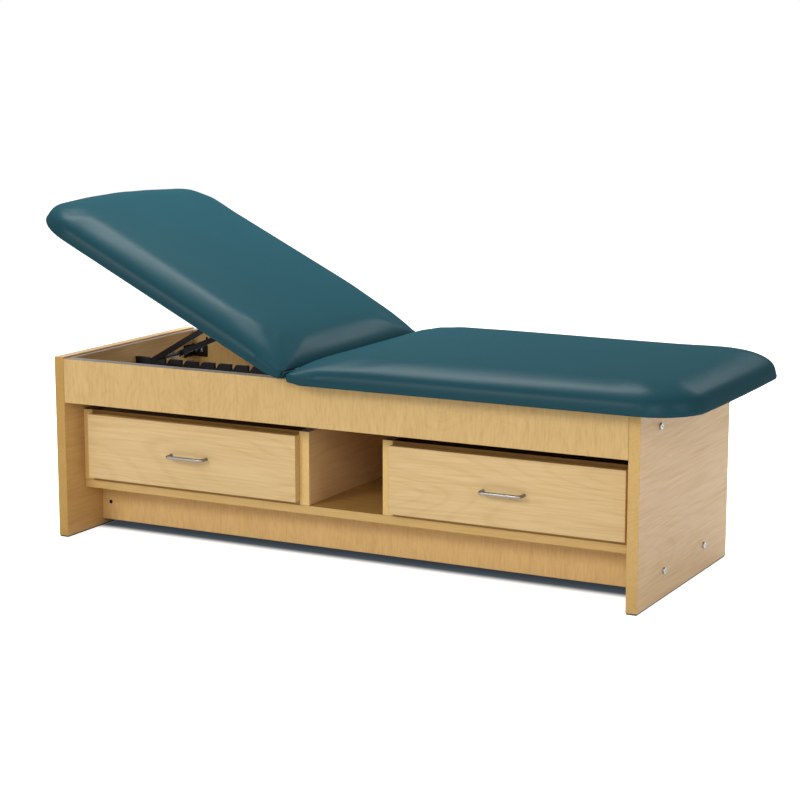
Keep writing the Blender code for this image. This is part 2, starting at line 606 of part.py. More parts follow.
def build_prop(backrest):
    """Wishbone of two flat bars that turns in brackets under the backrest deck."""
    pivot = make_empty("prop_pivot", backrest, (-PROP_REACH, 0, -DECK_BOARD - PROP_DROP),
                       -REST_ANGLE - PROP_ANGLE)
    half_sheet = PROP_BAR_SHEET / 2
    end_round = PROP_BAR_WIDTH / 2
    for side, place in ((-1, "front"), (1, "back")):
        top = side * PROP_TOP_SPREAD / 2
        foot = side * PROP_FOOT_SPREAD / 2
        line = [(end_round, top), (-PROP_STRAIGHT, top), (-PROP_LENGTH + PROP_STRAIGHT, foot),
                (-PROP_LENGTH - end_round, foot)]
        outline = [(x, y - half_sheet) for x, y in line] + [(x, y + half_sheet) for x, y in reversed(line)]
        bar = make_piece(place + "_prop_leg", prism_mesh(outline, PROP_BAR_WIDTH, "XY"), BLACK_STEEL, pivot)
        pin_length = PROP_BAR_SHEET + 2 * SEAT + BRACKET_SHEET + PIVOT_PIN / 2
        pin_y = top + side * (pin_length / 2 - half_sheet / 2)
        combine(bar, rod_mesh(pin_length, PIVOT_PIN, (0, 1, 0)), "UNION", (0, pin_y, 0))
        lug_y = top + side * (half_sheet + SEAT + BRACKET_SHEET / 2)
        build_bracket(backrest, place, side, lug_y)
    rod_length = PROP_FOOT_SPREAD - PROP_BAR_SHEET - 2 * SEAT
    make_piece("prop_foot_rod", rod_mesh(rod_length, FOOT_ROD, (0, 1, 0)), BLACK_STEEL, pivot,
               (-PROP_LENGTH, 0, 0), smooth=True)


def build_bracket(backrest, place, side, lug_y):
    """Steel angle screwed under the deck, with the eye for a leg's pin."""
    under = -DECK_BOARD - SEAT
    eye = -DECK_BOARD - PROP_DROP
    half = BRACKET_LENGTH / 2
    eye_round = PIVOT_PIN
    lug = [(-half, under), (half, under), (eye_round, eye - eye_round), (-eye_round, eye - eye_round)]
    bracket = make_piece(place + "_prop_bracket", prism_mesh(lug, BRACKET_SHEET), BLACK_STEEL, backrest,
                         (-PROP_REACH, lug_y, 0))
    flange = box_mesh((BRACKET_LENGTH, BRACKET_FLANGE, BRACKET_SHEET), 0.0,
                      (0, side * (BRACKET_FLANGE - BRACKET_SHEET) / 2, under - BRACKET_SHEET / 2))
    combine(bracket, flange, "UNION")
    drill(bracket, (0, 0, eye), (0, 1, 0), PIVOT_PIN + 2 * SEAT, 3 * BRACKET_SHEET)


def foot_place():
    """Where the middle of the foot rod lies when the backrest is at rest."""
    drop = DECK_BOARD + PROP_DROP
    x = HINGE_X - PROP_REACH * math.cos(REST_ANGLE) - drop * math.sin(REST_ANGLE)
    z = HINGE_Z + PROP_REACH * math.sin(REST_ANGLE) - drop * math.cos(REST_ANGLE)
    return x - PROP_LENGTH * math.cos(PROP_ANGLE), z - PROP_LENGTH * math.sin(PROP_ANGLE)


def build_rack(couch):
    """Toothed bar from the head rail to the mid rail, its steep tooth faces turned to the hinge."""
    foot_x, foot_z = foot_place()
    crest = foot_z - FOOT_ROD / 2 - RACK_CLEARANCE
    start = -RAIL_FACE_X + SEAT
    stop = HINGE_X + MID_RAIL_SETBACK - SEAT
    outline = [(stop, crest - RACK_HEIGHT), (start, crest - RACK_HEIGHT), (start, crest)]
    notch = foot_x - FOOT_ROD / 2
    while notch - RACK_PITCH > start + RACK_LAND:
        notch -= RACK_PITCH
    while notch + RACK_PITCH < stop:
        outline.append((notch, crest))
        outline.append((notch, crest - RACK_TOOTH))
        outline.append((notch + RACK_NOTCH, crest - RACK_TOOTH))
        outline.append((notch + RACK_PITCH - RACK_LAND, crest))
        notch += RACK_PITCH
    outline.append((stop, crest))
    make_piece("rack", prism_mesh(outline, RACK_SHEET), BLACK_STEEL, couch)


def stand_over_origin(couch):
    """Shift the couch along X until the origin lies under the middle of its box."""
    bpy.context.view_layer.update()
    reach = []
    for name in ("seat_cushion", "backrest_cushion"):
        cushion = bpy.data.objects[name]
        reach += [(cushion.matrix_world @ vertex.co).x for vertex in cushion.data.vertices]
    couch.location.x = -(min(reach) + max(reach)) / 2


def build_couch():
    clear_scene()
    couch = make_empty("couch")
    backrest = make_empty("backrest_pivot", couch, (HINGE_X, 0, HINGE_Z), REST_ANGLE)
    build_end_panels(couch)
    build_top_frame(couch)
    build_corner_braces(couch)
    build_case(couch)
    build_bolts(couch)
    for end in ("head", "foot"):
        build_drawer(couch, end)
    build_pads(couch, backrest)
    build_hinge(couch, backrest)
    build_prop(backrest)
    build_rack(couch)
    stand_over_origin(couch)


build_couch()
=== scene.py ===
import json
import math

import bpy
import numpy as np
from mathutils import Matrix, Vector


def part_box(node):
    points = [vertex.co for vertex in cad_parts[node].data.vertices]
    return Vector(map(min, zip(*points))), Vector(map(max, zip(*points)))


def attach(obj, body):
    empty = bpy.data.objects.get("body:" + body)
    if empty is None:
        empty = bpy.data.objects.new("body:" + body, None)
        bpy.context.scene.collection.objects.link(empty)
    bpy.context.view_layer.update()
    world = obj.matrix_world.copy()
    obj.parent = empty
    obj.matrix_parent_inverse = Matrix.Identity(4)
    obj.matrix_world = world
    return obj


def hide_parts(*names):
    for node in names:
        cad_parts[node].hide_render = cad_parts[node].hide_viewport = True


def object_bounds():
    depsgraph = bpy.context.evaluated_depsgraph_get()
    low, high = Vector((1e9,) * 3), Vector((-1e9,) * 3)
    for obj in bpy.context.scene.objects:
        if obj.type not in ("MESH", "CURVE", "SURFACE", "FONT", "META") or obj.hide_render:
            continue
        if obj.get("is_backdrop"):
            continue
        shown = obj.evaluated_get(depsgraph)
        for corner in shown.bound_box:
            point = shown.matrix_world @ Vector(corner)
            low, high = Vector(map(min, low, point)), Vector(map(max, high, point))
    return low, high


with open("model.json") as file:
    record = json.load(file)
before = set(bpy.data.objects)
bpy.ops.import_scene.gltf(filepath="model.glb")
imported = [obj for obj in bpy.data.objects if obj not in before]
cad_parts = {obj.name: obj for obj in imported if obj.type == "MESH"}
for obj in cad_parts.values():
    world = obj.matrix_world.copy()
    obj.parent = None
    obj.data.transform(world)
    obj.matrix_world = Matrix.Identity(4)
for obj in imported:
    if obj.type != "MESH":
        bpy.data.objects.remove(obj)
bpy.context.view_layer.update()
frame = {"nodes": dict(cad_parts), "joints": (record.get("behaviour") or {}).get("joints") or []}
parts = frame["nodes"]

# The studio is a seamless floor that looks white and still takes the couch's soft contact
# shadow, with a pale even sky around it. Between the end panels, under the couch and a little
# past its kickboards, the floor's colour and glow are painted dark: a painted contact shadow.
FLOOR_SIZE = 16.0
FLOOR_DROP = 0.0004
FLOOR_WHITE = (0.80, 0.80, 0.80, 1.0)
FLOOR_PAINTED_SHADOW = (0.085, 0.105, 0.125, 1.0)
FLOOR_GLOW = 0.80
FAR_GLOW_LIMITS = (0.4, 1.6)
PAINTED_SHADOW_GLOW = (0.042, 0.054, 0.066, 1.0)
SHADE_HALF = (0.746, 0.131)
SHADE_MIDDLE = (-0.046, 0.0, 0.0)
SHADE_FADE = 0.050
SHADE_END_STEEPNESS = 8.0
SKY_COLOUR = (0.96, 0.98, 1.0, 1.0)
SKY_LEVEL = 0.36
WHITE = (1.0, 1.0, 1.0, 1.0)


def add_node(tree, kind, values=None, **settings):
    """New shader node; each value is a number, a colour or another node's socket."""
    node = tree.nodes.new("ShaderNode" + kind)
    for name, setting in settings.items():
        setattr(node, name, setting)
    for name, value in (values or {}).items():
        if isinstance(value, bpy.types.NodeSocket):
            tree.links.new(value, node.inputs[name])
        else:
            node.inputs[name].default_value = value
    return node


def maths(tree, operation, first, second, **settings):
    return add_node(tree, "Math", {0: first, 1: second}, operation=operation, **settings).outputs[0]


def ranged(tree, socket, limits, top=1.0, curve="LINEAR"):
    """0 up to the lower limit, and from there up to the top at the upper limit."""
    return add_node(tree, "MapRange", {"Value": socket, "From Min": limits[0], "From Max": limits[1],
                                       "To Max": top}, interpolation_type=curve).outputs[0]


def mixed(tree, factor, first, second):
    return add_node(tree, "Mix", {0: factor, 6: first, 7: second}, data_type="RGBA").outputs[2]


def seen_rays(tree):
    """1 for rays that show a surface to the camera, straight or mirrored, and 0 for light."""
    path = add_node(tree, "LightPath").outputs
    mirrored = maths(tree, "ADD", path["Is Glossy Ray"], path["Is Transmission Ray"])
    return maths(tree, "ADD", path["Is Camera Ray"], mirrored, use_clamp=True)


def clear_material(name):
    material = bpy.data.materials.new(name)
    material.use_nodes = True
    material.node_tree.nodes.clear()
    return material, material.node_tree


scene = bpy.context.scene
scene.view_settings.view_transform = "Standard"
sky = bpy.data.worlds.new("studio_sky")
sky.use_nodes = True
tree = sky.node_tree
tree.nodes.clear()
sky_light = add_node(tree, "Background", {"Color": SKY_COLOUR, "Strength": SKY_LEVEL})
sky_seen = add_node(tree, "Background", {"Color": WHITE, "Strength": 1.0})
sky_mix = add_node(tree, "MixShader", {0: seen_rays(tree), 1: sky_light.outputs[0],
                                       2: sky_seen.outputs[0]})
add_node(tree, "OutputWorld", {"Surface": sky_mix.outputs[0]})
scene.world = sky

bpy.ops.object.select_all(action="DESELECT")
bpy.ops.mesh.primitive_plane_add(size=FLOOR_SIZE, location=(0, 0, -FLOOR_DROP))
floor = bpy.context.object
floor.name = "studio_floor"
floor_material, tree = clear_material("studio_floor")
place = add_node(tree, "TexCoord").outputs["Object"]
spread = add_node(tree, "VectorMath", {0: place, 1: SHADE_MIDDLE}, operation="SUBTRACT").outputs[0]
spread = add_node(tree, "VectorMath", {0: spread}, operation="ABSOLUTE").outputs[0]
spread = add_node(tree, "SeparateXYZ", {0: spread}).outputs
past_end = maths(tree, "SUBTRACT", spread["X"], SHADE_HALF[0])
past_side = maths(tree, "SUBTRACT", spread["Y"], SHADE_HALF[1])
apart = maths(tree, "MAXIMUM", maths(tree, "MULTIPLY", past_end, SHADE_END_STEEPNESS), past_side)
lift = ranged(tree, apart, (0.0, SHADE_FADE), curve="SMOOTHSTEP")
far_glow = ranged(tree, apart, FAR_GLOW_LIMITS, 1.0 - FLOOR_GLOW, "SMOOTHSTEP")
glow_level = maths(tree, "MULTIPLY", seen_rays(tree), maths(tree, "ADD", far_glow, FLOOR_GLOW))
# Inside the mask, where lift is below 1, the floor's colour and glow are painted shadow.
paper = add_node(tree, "BsdfDiffuse", {"Color": mixed(tree, lift, FLOOR_PAINTED_SHADOW, FLOOR_WHITE)})
glow = add_node(tree, "Emission", {"Color": mixed(tree, lift, PAINTED_SHADOW_GLOW, WHITE), "Strength": glow_level})
floor_sum = add_node(tree, "AddShader", {0: paper.outputs[0], 1: glow.outputs[0]})
add_node(tree, "OutputMaterial", {"Surface": floor_sum.outputs[0]})
floor.data.materials.append(floor_material)
floor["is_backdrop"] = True

# The light is a large softbox high on the left in front, weak ones in front and on the right
# that open the shadows, and two above and behind, which draw the bright lines along the pads.
COUCH_MIDDLE = Vector((-0.05, 0.0, 0.35))


def add_softbox(name, place, aim, width, height, power):
    lamp = bpy.data.lights.new(name, "AREA")
    lamp.shape = "RECTANGLE"
    lamp.size = width
    lamp.size_y = height
    lamp.energy = power
    box = bpy.data.objects.new(name, lamp)
    box.location = place
    box.rotation_euler = (Vector(aim) - Vector(place)).to_track_quat("-Z", "Y").to_euler()
    scene.collection.objects.link(box)


add_softbox("left_softbox", (-2.0, -5.1, 3.2), COUCH_MIDDLE, width=1.6, height=1.6, power=99)
add_softbox("front_softbox", (1.7, -3.4, 1.8), (0.35, -0.2, 0.3), width=1.3, height=1.1, power=30)
add_softbox("right_softbox", (3.6, -0.9, 1.7), COUCH_MIDDLE, width=1.6, height=1.6, power=18)
add_softbox("top_softbox", (-0.90, 0.60, 2.8), (-0.2, -0.1, 0.5), width=1.9, height=0.80, power=104)
add_softbox("low_back_softbox", (0.85, 3.2, 2.2), (0.6, 0.0, 0.5), width=1.1, height=0.5, power=27)

# The camera stands in front and to the right, a little above the pads, with a long lens and
# no lens shift.
CAMERA_PLACE = (2.303, -4.399, 1.268)
CAMERA_PITCH = math.radians(10.26)
CAMERA_YAW = math.radians(27.71)
CAMERA_LENS = 93.75
CAMERA_SENSOR = 36.0
camera = bpy.data.objects.new("camera", bpy.data.cameras.new("camera"))
camera.data.lens = CAMERA_LENS
camera.data.sensor_width = CAMERA_SENSOR
camera.location = CAMERA_PLACE
camera.rotation_euler = (math.pi / 2 - CAMERA_PITCH, 0, CAMERA_YAW)
scene.collection.objects.link(camera)
scene.camera = camera

# The boards are particle board faced with a maple laminate: pale, with fine straight streaks,
# a faint cathedral figure and short dark flecks, all running one way on each board.
GRAIN_SOCKETS = {"INPUT": (("Vector", "Vector"), ("Pale", "Color"), ("Dark", "Color"), ("Figure", "Float")),
                 "OUTPUT": (("Color", "Color"), ("Roughness", "Float"), ("Height", "Float"))}
NOISE_ROUGHNESS = 0.55
DRIFT_STRETCH = (1.5, 6.0, 6.0)
DRIFT_REACH = (0.0, 0.030, 0.030)
FIBRE_STRETCH = (6.0, 210, 210)
LINE_LIMITS = (0.40, 0.70)
LINE_TONE = 0.40
LINE_ROUGHNESS = (0.12, 0.36)
BAND_STRETCH = (1.4, 26, 26)
BAND_TONE = (0.50, -0.16)
SWIRL_STRETCH = (0.8, 5.5, 5.5)
SWIRL_RINGS = 150.0
RING_LIMITS = (0.45, 1.0)
FLECK_STRETCH = (45, 700, 700)
FLECK_LIMITS = (0.62, 0.78)
FLECK_TONE = 0.20


def stretched_noise(tree, vector, stretch, detail):
    """Noise that runs long along X: stretch gives how many features a metre has each way."""
    scaled = add_node(tree, "VectorMath", {0: vector, 1: stretch}, operation="MULTIPLY")
    return add_node(tree, "TexNoise", {"Vector": scaled.outputs[0], "Scale": 1.0, "Detail": detail,
                                       "Roughness": NOISE_ROUGHNESS}).outputs[0]


def weighted(tree, socket, weight, offset=0.0):
    return add_node(tree, "Math", {0: socket, 1: weight, 2: offset}, operation="MULTIPLY_ADD").outputs[0]


def added(tree, first, second):
    return maths(tree, "ADD", first, second, use_clamp=True)


maple_grain = bpy.data.node_groups.new("maple_grain", "ShaderNodeTree")
for direction, sockets in GRAIN_SOCKETS.items():
    for label, kind in sockets:
        maple_grain.interface.new_socket(label, in_out=direction, socket_type="NodeSocket" + kind)
grain_in = maple_grain.nodes.new("NodeGroupInput").outputs
grain_out = maple_grain.nodes.new("NodeGroupOutput").inputs
tree = maple_grain
along = grain_in["Vector"]
drift = add_node(tree, "VectorMath", {0: along, 1: DRIFT_STRETCH}, operation="MULTIPLY").outputs[0]
drift = add_node(tree, "TexNoise", {"Vector": drift, "Scale": 1.0, "Detail": 2.0}).outputs["Color"]
drift = add_node(tree, "VectorMath", {0: drift, 1: DRIFT_REACH, 2: along},
                 operation="MULTIPLY_ADD").outputs[0]
fibres = stretched_noise(tree, drift, FIBRE_STRETCH, detail=3.0)
lines = ranged(tree, fibres, LINE_LIMITS)
bands = stretched_noise(tree, drift, BAND_STRETCH, detail=2.0)
swirl = stretched_noise(tree, along, SWIRL_STRETCH, detail=1.0)
waves = add_node(tree, "Math", {0: weighted(tree, swirl, SWIRL_RINGS)}, operation="SINE").outputs[0]
rings = ranged(tree, waves, RING_LIMITS)
flecks = ranged(tree, stretched_noise(tree, along, FLECK_STRETCH, detail=2.0), FLECK_LIMITS)
tone = added(tree, weighted(tree, lines, LINE_TONE), weighted(tree, bands, *BAND_TONE))
tone = added(tree, tone, maths(tree, "MULTIPLY", rings, grain_in["Figure"]))
tone = added(tree, tone, weighted(tree, flecks, FLECK_TONE))
tree.links.new(mixed(tree, tone, grain_in["Pale"], grain_in["Dark"]), grain_out["Color"])
tree.links.new(weighted(tree, lines, *LINE_ROUGHNESS), grain_out["Roughness"])
tree.links.new(fibres, grain_out["Height"])

GRAIN_TURN = {"X": (0, 0, 0), "Y": (0, 0, math.pi / 2), "Z": (0, math.pi / 2, 0)}
GRAIN_RELIEF = {"Strength": 0.06, "Distance": 0.0006}
MAPLE_FRONT = ((0.735, 0.53, 0.265, 1), (0.55, 0.355, 0.145, 1))
MAPLE_APRON = ((0.66, 0.445, 0.185, 1), (0.48, 0.29, 0.098, 1))
MAPLE_TAN = ((0.67, 0.445, 0.215, 1), (0.50, 0.31, 0.140, 1))
# The end panels' inner faces: painted shade, a deeper orange than the maple.
MAPLE_INNER_SHADE = ((0.62, 0.375, 0.135, 1), (0.47, 0.26, 0.085, 1))
EDGE_BAND = ((0.66, 0.435, 0.165, 1), (0.54, 0.34, 0.115, 1))
RAW_EDGE = ((0.27, 0.225, 0.19, 1), (0.17, 0.14, 0.12, 1))
EDGE_DEPTH = 0.0008
UPRIGHT_SHORTEN = 4.0


def surface(tree, values):
    """Close a material with one principled shader."""
    shader = add_node(tree, "BsdfPrincipled", values)
    add_node(tree, "OutputMaterial", {"Surface": shader.outputs[0]})


def wooden(name, grain, colours, figure=0.10, regions=(), shorten=1.0, gloss=0.20):
    """Laminate with its grain along one axis; each region is (axis, side, limit, colours)."""
    material, tree = clear_material(name)
    place = add_node(tree, "TexCoord").outputs["Object"]
    lengths = [shorten if axis == grain else 1.0 for axis in "XYZ"]
    turned = add_node(tree, "Mapping", {"Vector": place, "Rotation": GRAIN_TURN[grain],
                                        "Scale": lengths}).outputs[0]
    pale, dark = colours
    split = add_node(tree, "SeparateXYZ", {0: place}).outputs
    for axis, side, limit, (region_pale, region_dark) in regions:
        inside = maths(tree, "GREATER_THAN" if side > 0 else "LESS_THAN", split[axis], limit)
        pale = mixed(tree, inside, pale, region_pale)
        dark = mixed(tree, inside, dark, region_dark)
    laminate = add_node(tree, "Group", {"Vector": turned, "Pale": pale, "Dark": dark, "Figure": figure},
                        node_tree=maple_grain).outputs
    bump = add_node(tree, "Bump", {"Height": laminate["Height"], **GRAIN_RELIEF})
    surface(tree, {"Base Color": laminate["Color"], "Roughness": laminate["Roughness"],
                   "Specular IOR Level": gloss, "Normal": bump.outputs[0]})
    return material


def finish_nodes(material, *names):
    for name in names:
        parts[name].data.materials.clear()
        parts[name].data.materials.append(material)


# The two end panels carry the couch. Their outer faces show a pinker laminate with the grain
# lying flat, their narrow edges a yellower band; a thin dark strip keeps each off the floor.
# Their inner faces are painted a deeper orange as shade, and the head panel's edge band is
# painted darker than the foot's as shade.
# The head panel's band is painted darker than the foot's, as shade.
PANEL_BAND_AND_SHADE = {"head": ((0.49, 0.29, 0.080, 1), (0.40, 0.225, 0.056, 1)),
              "foot": ((0.62, 0.40, 0.145, 1), (0.51, 0.31, 0.105, 1))}
STRIP_BLACK = ((0.030, 0.028, 0.027, 1), (0.075, 0.068, 0.060, 1))
STRIP_SCUFFS = {"Scale": 160.0, "Detail": 4.0}
STRIP_ROUGHNESS = (0.3, 0.45)
for end, side in (("head", -1), ("foot", 1)):
    low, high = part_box(end + "_end_panel")
    outer, inner = (high.x, low.x) if side > 0 else (low.x, high.x)
    panel_maple = wooden(end + "_panel_maple", "Y", MAPLE_FRONT, figure=0.16, regions=[
        ("X", side, outer - side * EDGE_DEPTH, MAPLE_TAN),
        ("X", -side, inner + side * EDGE_DEPTH, MAPLE_INNER_SHADE),
        ("Y", -1, low.y + EDGE_DEPTH, PANEL_BAND_AND_SHADE[end]),
        ("Y", 1, high.y - EDGE_DEPTH, PANEL_BAND_AND_SHADE[end]),
        ("Z", 1, high.z - EDGE_DEPTH, MAPLE_TAN)])
    finish_nodes(panel_maple, end + "_end_panel")

strip_plastic, tree = clear_material("strip_plastic")
place = add_node(tree, "TexCoord").outputs["Object"]
scuffs = add_node(tree, "TexNoise", {"Vector": place, **STRIP_SCUFFS}).outputs[0]
surface(tree, {"Base Color": mixed(tree, scuffs, *STRIP_BLACK),
               "Roughness": weighted(tree, scuffs, *STRIP_ROUGHNESS)})
finish_nodes(strip_plastic, "head_floor_strip", "foot_floor_strip")

# The aprons and cross rails close the top of the base. The aprons' grain stands upright, the
# rails' lies flat, and their sawn top edges are grey.
low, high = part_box("front_apron")
SAWN_TOP = [("Z", 1, high.z - EDGE_DEPTH, RAW_EDGE)]
apron_maple = wooden("apron_maple", "Z", MAPLE_APRON, figure=0.12, regions=SAWN_TOP,
                     shorten=UPRIGHT_SHORTEN)
finish_nodes(apron_maple, "front_apron", "back_apron")
finish_nodes(wooden("rail_maple", "Y", MAPLE_TAN, figure=0.12, regions=SAWN_TOP),
             "head_cross_rail", "foot_cross_rail", "mid_cross_rail")

# The drawer case stands on a shelf between the end panels, with two dividers round the open
# cubby. Its boards show a yellow edge band in front, and its top boards are dark. The shelf's
# top is painted deep brown as shade, the uprights' top edges take the top boards' dark as
# painted shade, the case tops' front edges are painted brown as the apron's shadow, and the
# uprights' edge band is painted lighter than the shelf's as painted light.
# Painted light and shade: the uprights' band is the edge band made lighter as light; the shelf's top face,
# the case tops' front edges and the uprights' top edges are painted darker as shade.
UPRIGHT_BAND_LIT = ((0.80, 0.555, 0.225, 1), (0.66, 0.44, 0.160, 1))
SHELF_TOP_SHADE = ((0.48, 0.28, 0.080, 1), (0.37, 0.195, 0.050, 1))
CASE_MAPLE = ((0.74, 0.475, 0.225, 1), (0.58, 0.345, 0.14, 1))
DARK_BOARD_AND_SHADE = ((0.070, 0.045, 0.033, 1), (0.045, 0.029, 0.022, 1))
CASE_TOP_EDGE_SHADE = ((0.36, 0.205, 0.065, 1), (0.25, 0.135, 0.040, 1))
low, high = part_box("shelf")
case_front = low.y + EDGE_DEPTH
case_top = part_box("head_divider")[1].z
finish_nodes(wooden("shelf_maple", "X", MAPLE_FRONT, figure=0.12, regions=[
    ("Z", 1, high.z - EDGE_DEPTH, SHELF_TOP_SHADE), ("Y", -1, case_front, EDGE_BAND)]), "shelf")
# The uprights' front band is painted light, and their top edges are painted shade.
finish_nodes(wooden("upright_maple", "Y", CASE_MAPLE, figure=0.12, gloss=0.10, regions=[
    ("Y", -1, case_front, UPRIGHT_BAND_LIT), ("Z", 1, case_top - EDGE_DEPTH, DARK_BOARD_AND_SHADE)]),
    "head_case_side", "head_divider", "foot_divider", "foot_case_side")
finish_nodes(wooden("case_top_board", "X", DARK_BOARD_AND_SHADE, figure=0.05, gloss=0.0, regions=[
    ("Y", -1, case_front, CASE_TOP_EDGE_SHADE)]), "head_case_top", "foot_case_top")
finish_nodes(wooden("case_back_board", "X", MAPLE_FRONT), "case_back")

# The kickboards are maple-faced boards under the shelf, set well back, with upright grain and
# a warmer tone. The lower bolts hold them to the end panels.
MAPLE_KICK = ((0.79, 0.51, 0.21, 1), (0.60, 0.355, 0.125, 1))
finish_nodes(wooden("kick_maple", "Z", MAPLE_KICK, shorten=UPRIGHT_SHORTEN),
             "front_kickboard", "back_kickboard")

# The corner braces are angles of black powder-coated steel in the corners of the base, each
# held to its cross rail and its apron by four zinc-plated pan-head screws.
SCREW_HEAD = 0.0088
SCREW_SIDES = 24
SCREW_RISE = 0.0024
SCREW_ROUND = 0.6 * SCREW_RISE
SCREW_CROSS = (0.0050, 0.0011, 0.0014)
SCREW_REACHES = (0.011, 0.029)
BRACE_SHEET = 0.003
METAL_RELIEF = {"Strength": 0.05, "Distance": 0.0004}
FACING = 0.9
SOFT_ANGLE = math.radians(35)


def metal(name, pale, dark, metallic, roughness, stretch, gloss=0.5):
    """Metal whose colour and roughness vary with a noise stretched along the piece."""
    material, tree = clear_material(name)
    place = add_node(tree, "TexCoord").outputs["Object"]
    marks = stretched_noise(tree, place, stretch, detail=4.0)
    bump = add_node(tree, "Bump", {"Height": marks, **METAL_RELIEF})
    surface(tree, {"Base Color": mixed(tree, marks, dark, pale), "Metallic": metallic,
                   "Roughness": weighted(tree, marks, *roughness), "Specular IOR Level": gloss,
                   "Normal": bump.outputs[0]})
    return material


black_steel = metal("black_steel", (0.010, 0.010, 0.011, 1), (0.004, 0.004, 0.005, 1), metallic=0.0,
                    roughness=(0.2, 0.42), stretch=(900, 900, 900), gloss=0.22)
zinc_steel = metal("zinc_steel", (0.44, 0.47, 0.50, 1), (0.24, 0.26, 0.29, 1), metallic=1.0,
                   roughness=(0.25, 0.20), stretch=(260, 260, 260))


def new_piece(name):
    """The primitive just added, renamed, with its place moved into its mesh."""
    piece = bpy.context.object
    piece.name = name
    bpy.ops.object.transform_apply(location=True, rotation=True, scale=True)
    return piece


def add_cylinder(name, sides, radius, depth, place, turn=(0, 0, 0)):
    bpy.ops.object.select_all(action="DESELECT")
    bpy.ops.mesh.primitive_cylinder_add(vertices=sides, radius=radius, depth=depth, location=place,
                                        rotation=turn)
    return new_piece(name)


def add_block(name, size, place):
    bpy.ops.object.select_all(action="DESELECT")
    bpy.ops.mesh.primitive_cube_add(size=1.0, location=place, scale=size)
    return new_piece(name)


def pick_faces(piece, wanted):
    """Enter edit mode with just those faces selected whose centre and normal are wanted."""
    bpy.context.view_layer.objects.active = piece
    bpy.ops.object.mode_set(mode="EDIT")
    bpy.ops.mesh.select_mode(type="FACE")
    bpy.ops.mesh.select_all(action="DESELECT")
    bpy.ops.object.mode_set(mode="OBJECT")
    for face in piece.data.polygons:
        face.select = bool(wanted(face.center, face.normal))
    bpy.ops.object.mode_set(mode="EDIT")


def round_rim(piece, wanted, width, steps):
    """Bevel the rim of the wanted faces."""
    pick_faces(piece, wanted)
    bpy.ops.mesh.bevel(offset=width, segments=steps, affect="EDGES")
    bpy.ops.object.mode_set(mode="OBJECT")


def carve(piece, cutter):
    """Cut one piece out of another and throw the cutter away."""
    cut = piece.modifiers.new("carve", "BOOLEAN")
    cut.operation = "DIFFERENCE"
    cut.solver = "EXACT"
    cut.object = cutter
    bpy.context.view_layer.objects.active = piece
    bpy.ops.object.modifier_apply(modifier=cut.name)
    bpy.data.objects.remove(cutter)


def join_pieces(pieces):
    bpy.ops.object.select_all(action="DESELECT")
    for piece in pieces:
        piece.select_set(True)
    bpy.context.view_layer.objects.active = pieces[0]
    bpy.ops.object.join()
    return pieces[0]


def soften(piece):
    bpy.ops.object.select_all(action="DESELECT")
    piece.select_set(True)
    bpy.context.view_layer.objects.active = piece
    bpy.ops.object.shade_smooth_by_angle(angle=SOFT_ANGLE)


def turned_at(place, turn, axis):
    """A turn about one axis, then a move to a place."""
    return Matrix.Translation(place) @ Matrix.Rotation(turn, 4, axis)


def set_mesh(piece, matrix):
    """Move a mesh to its place; where the move mirrors it, its faces are turned out again."""
    piece.data.transform(matrix)
    if matrix.determinant() < 0:
        piece.data.flip_normals()


def place_copy(pattern, name, matrix, body, slot, *nodes):
    """A copy of a finished pattern with its own mesh, set in its place on a body."""
    piece = bpy.data.objects.new(name, pattern.data.copy())
    set_mesh(piece, matrix)
    scene.collection.objects.link(piece)
    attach(piece, body)
    if nodes:
        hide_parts(*nodes)


screw = add_cylinder("screw_pattern", SCREW_SIDES, SCREW_HEAD / 2, SCREW_RISE, (0, 0, SCREW_RISE / 2))
round_rim(screw, lambda centre, normal: normal.z > FACING, SCREW_ROUND, 3)
for length, width in ((SCREW_CROSS[0], SCREW_CROSS[1]), (SCREW_CROSS[1], SCREW_CROSS[0])):
    carve(screw, add_block("screw_cut", (length, width, 2 * SCREW_CROSS[2]), (0, 0, SCREW_RISE)))
screw.data.materials.append(zinc_steel)
soften(screw)

for end, side_x in (("head", -1), ("foot", 1)):
    for place, side_y in (("front", -1), ("back", 1)):
        brace = end + "_" + place + "_brace"
        finish_nodes(black_steel, brace)
        low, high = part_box(brace)
        level = (low.z + high.z) / 2
        corner_x = high.x if side_x > 0 else low.x
        corner_y = high.y if side_y > 0 else low.y
        for count, reach in enumerate(SCREW_REACHES):
            on_rail = turned_at((corner_x - side_x * BRACE_SHEET, corner_y - side_y * reach, level),
                                -side_x * math.pi / 2, "Y")
            on_apron = turned_at((corner_x - side_x * reach, corner_y - side_y * BRACE_SHEET, level),
                                 side_y * math.pi / 2, "X")
            place_copy(screw, "%s_rail_screw_%d" % (brace, count), on_rail, "base", "zinc_steel")
            place_copy(screw, "%s_apron_screw_%d" % (brace, count), on_apron, "base", "zinc_steel")

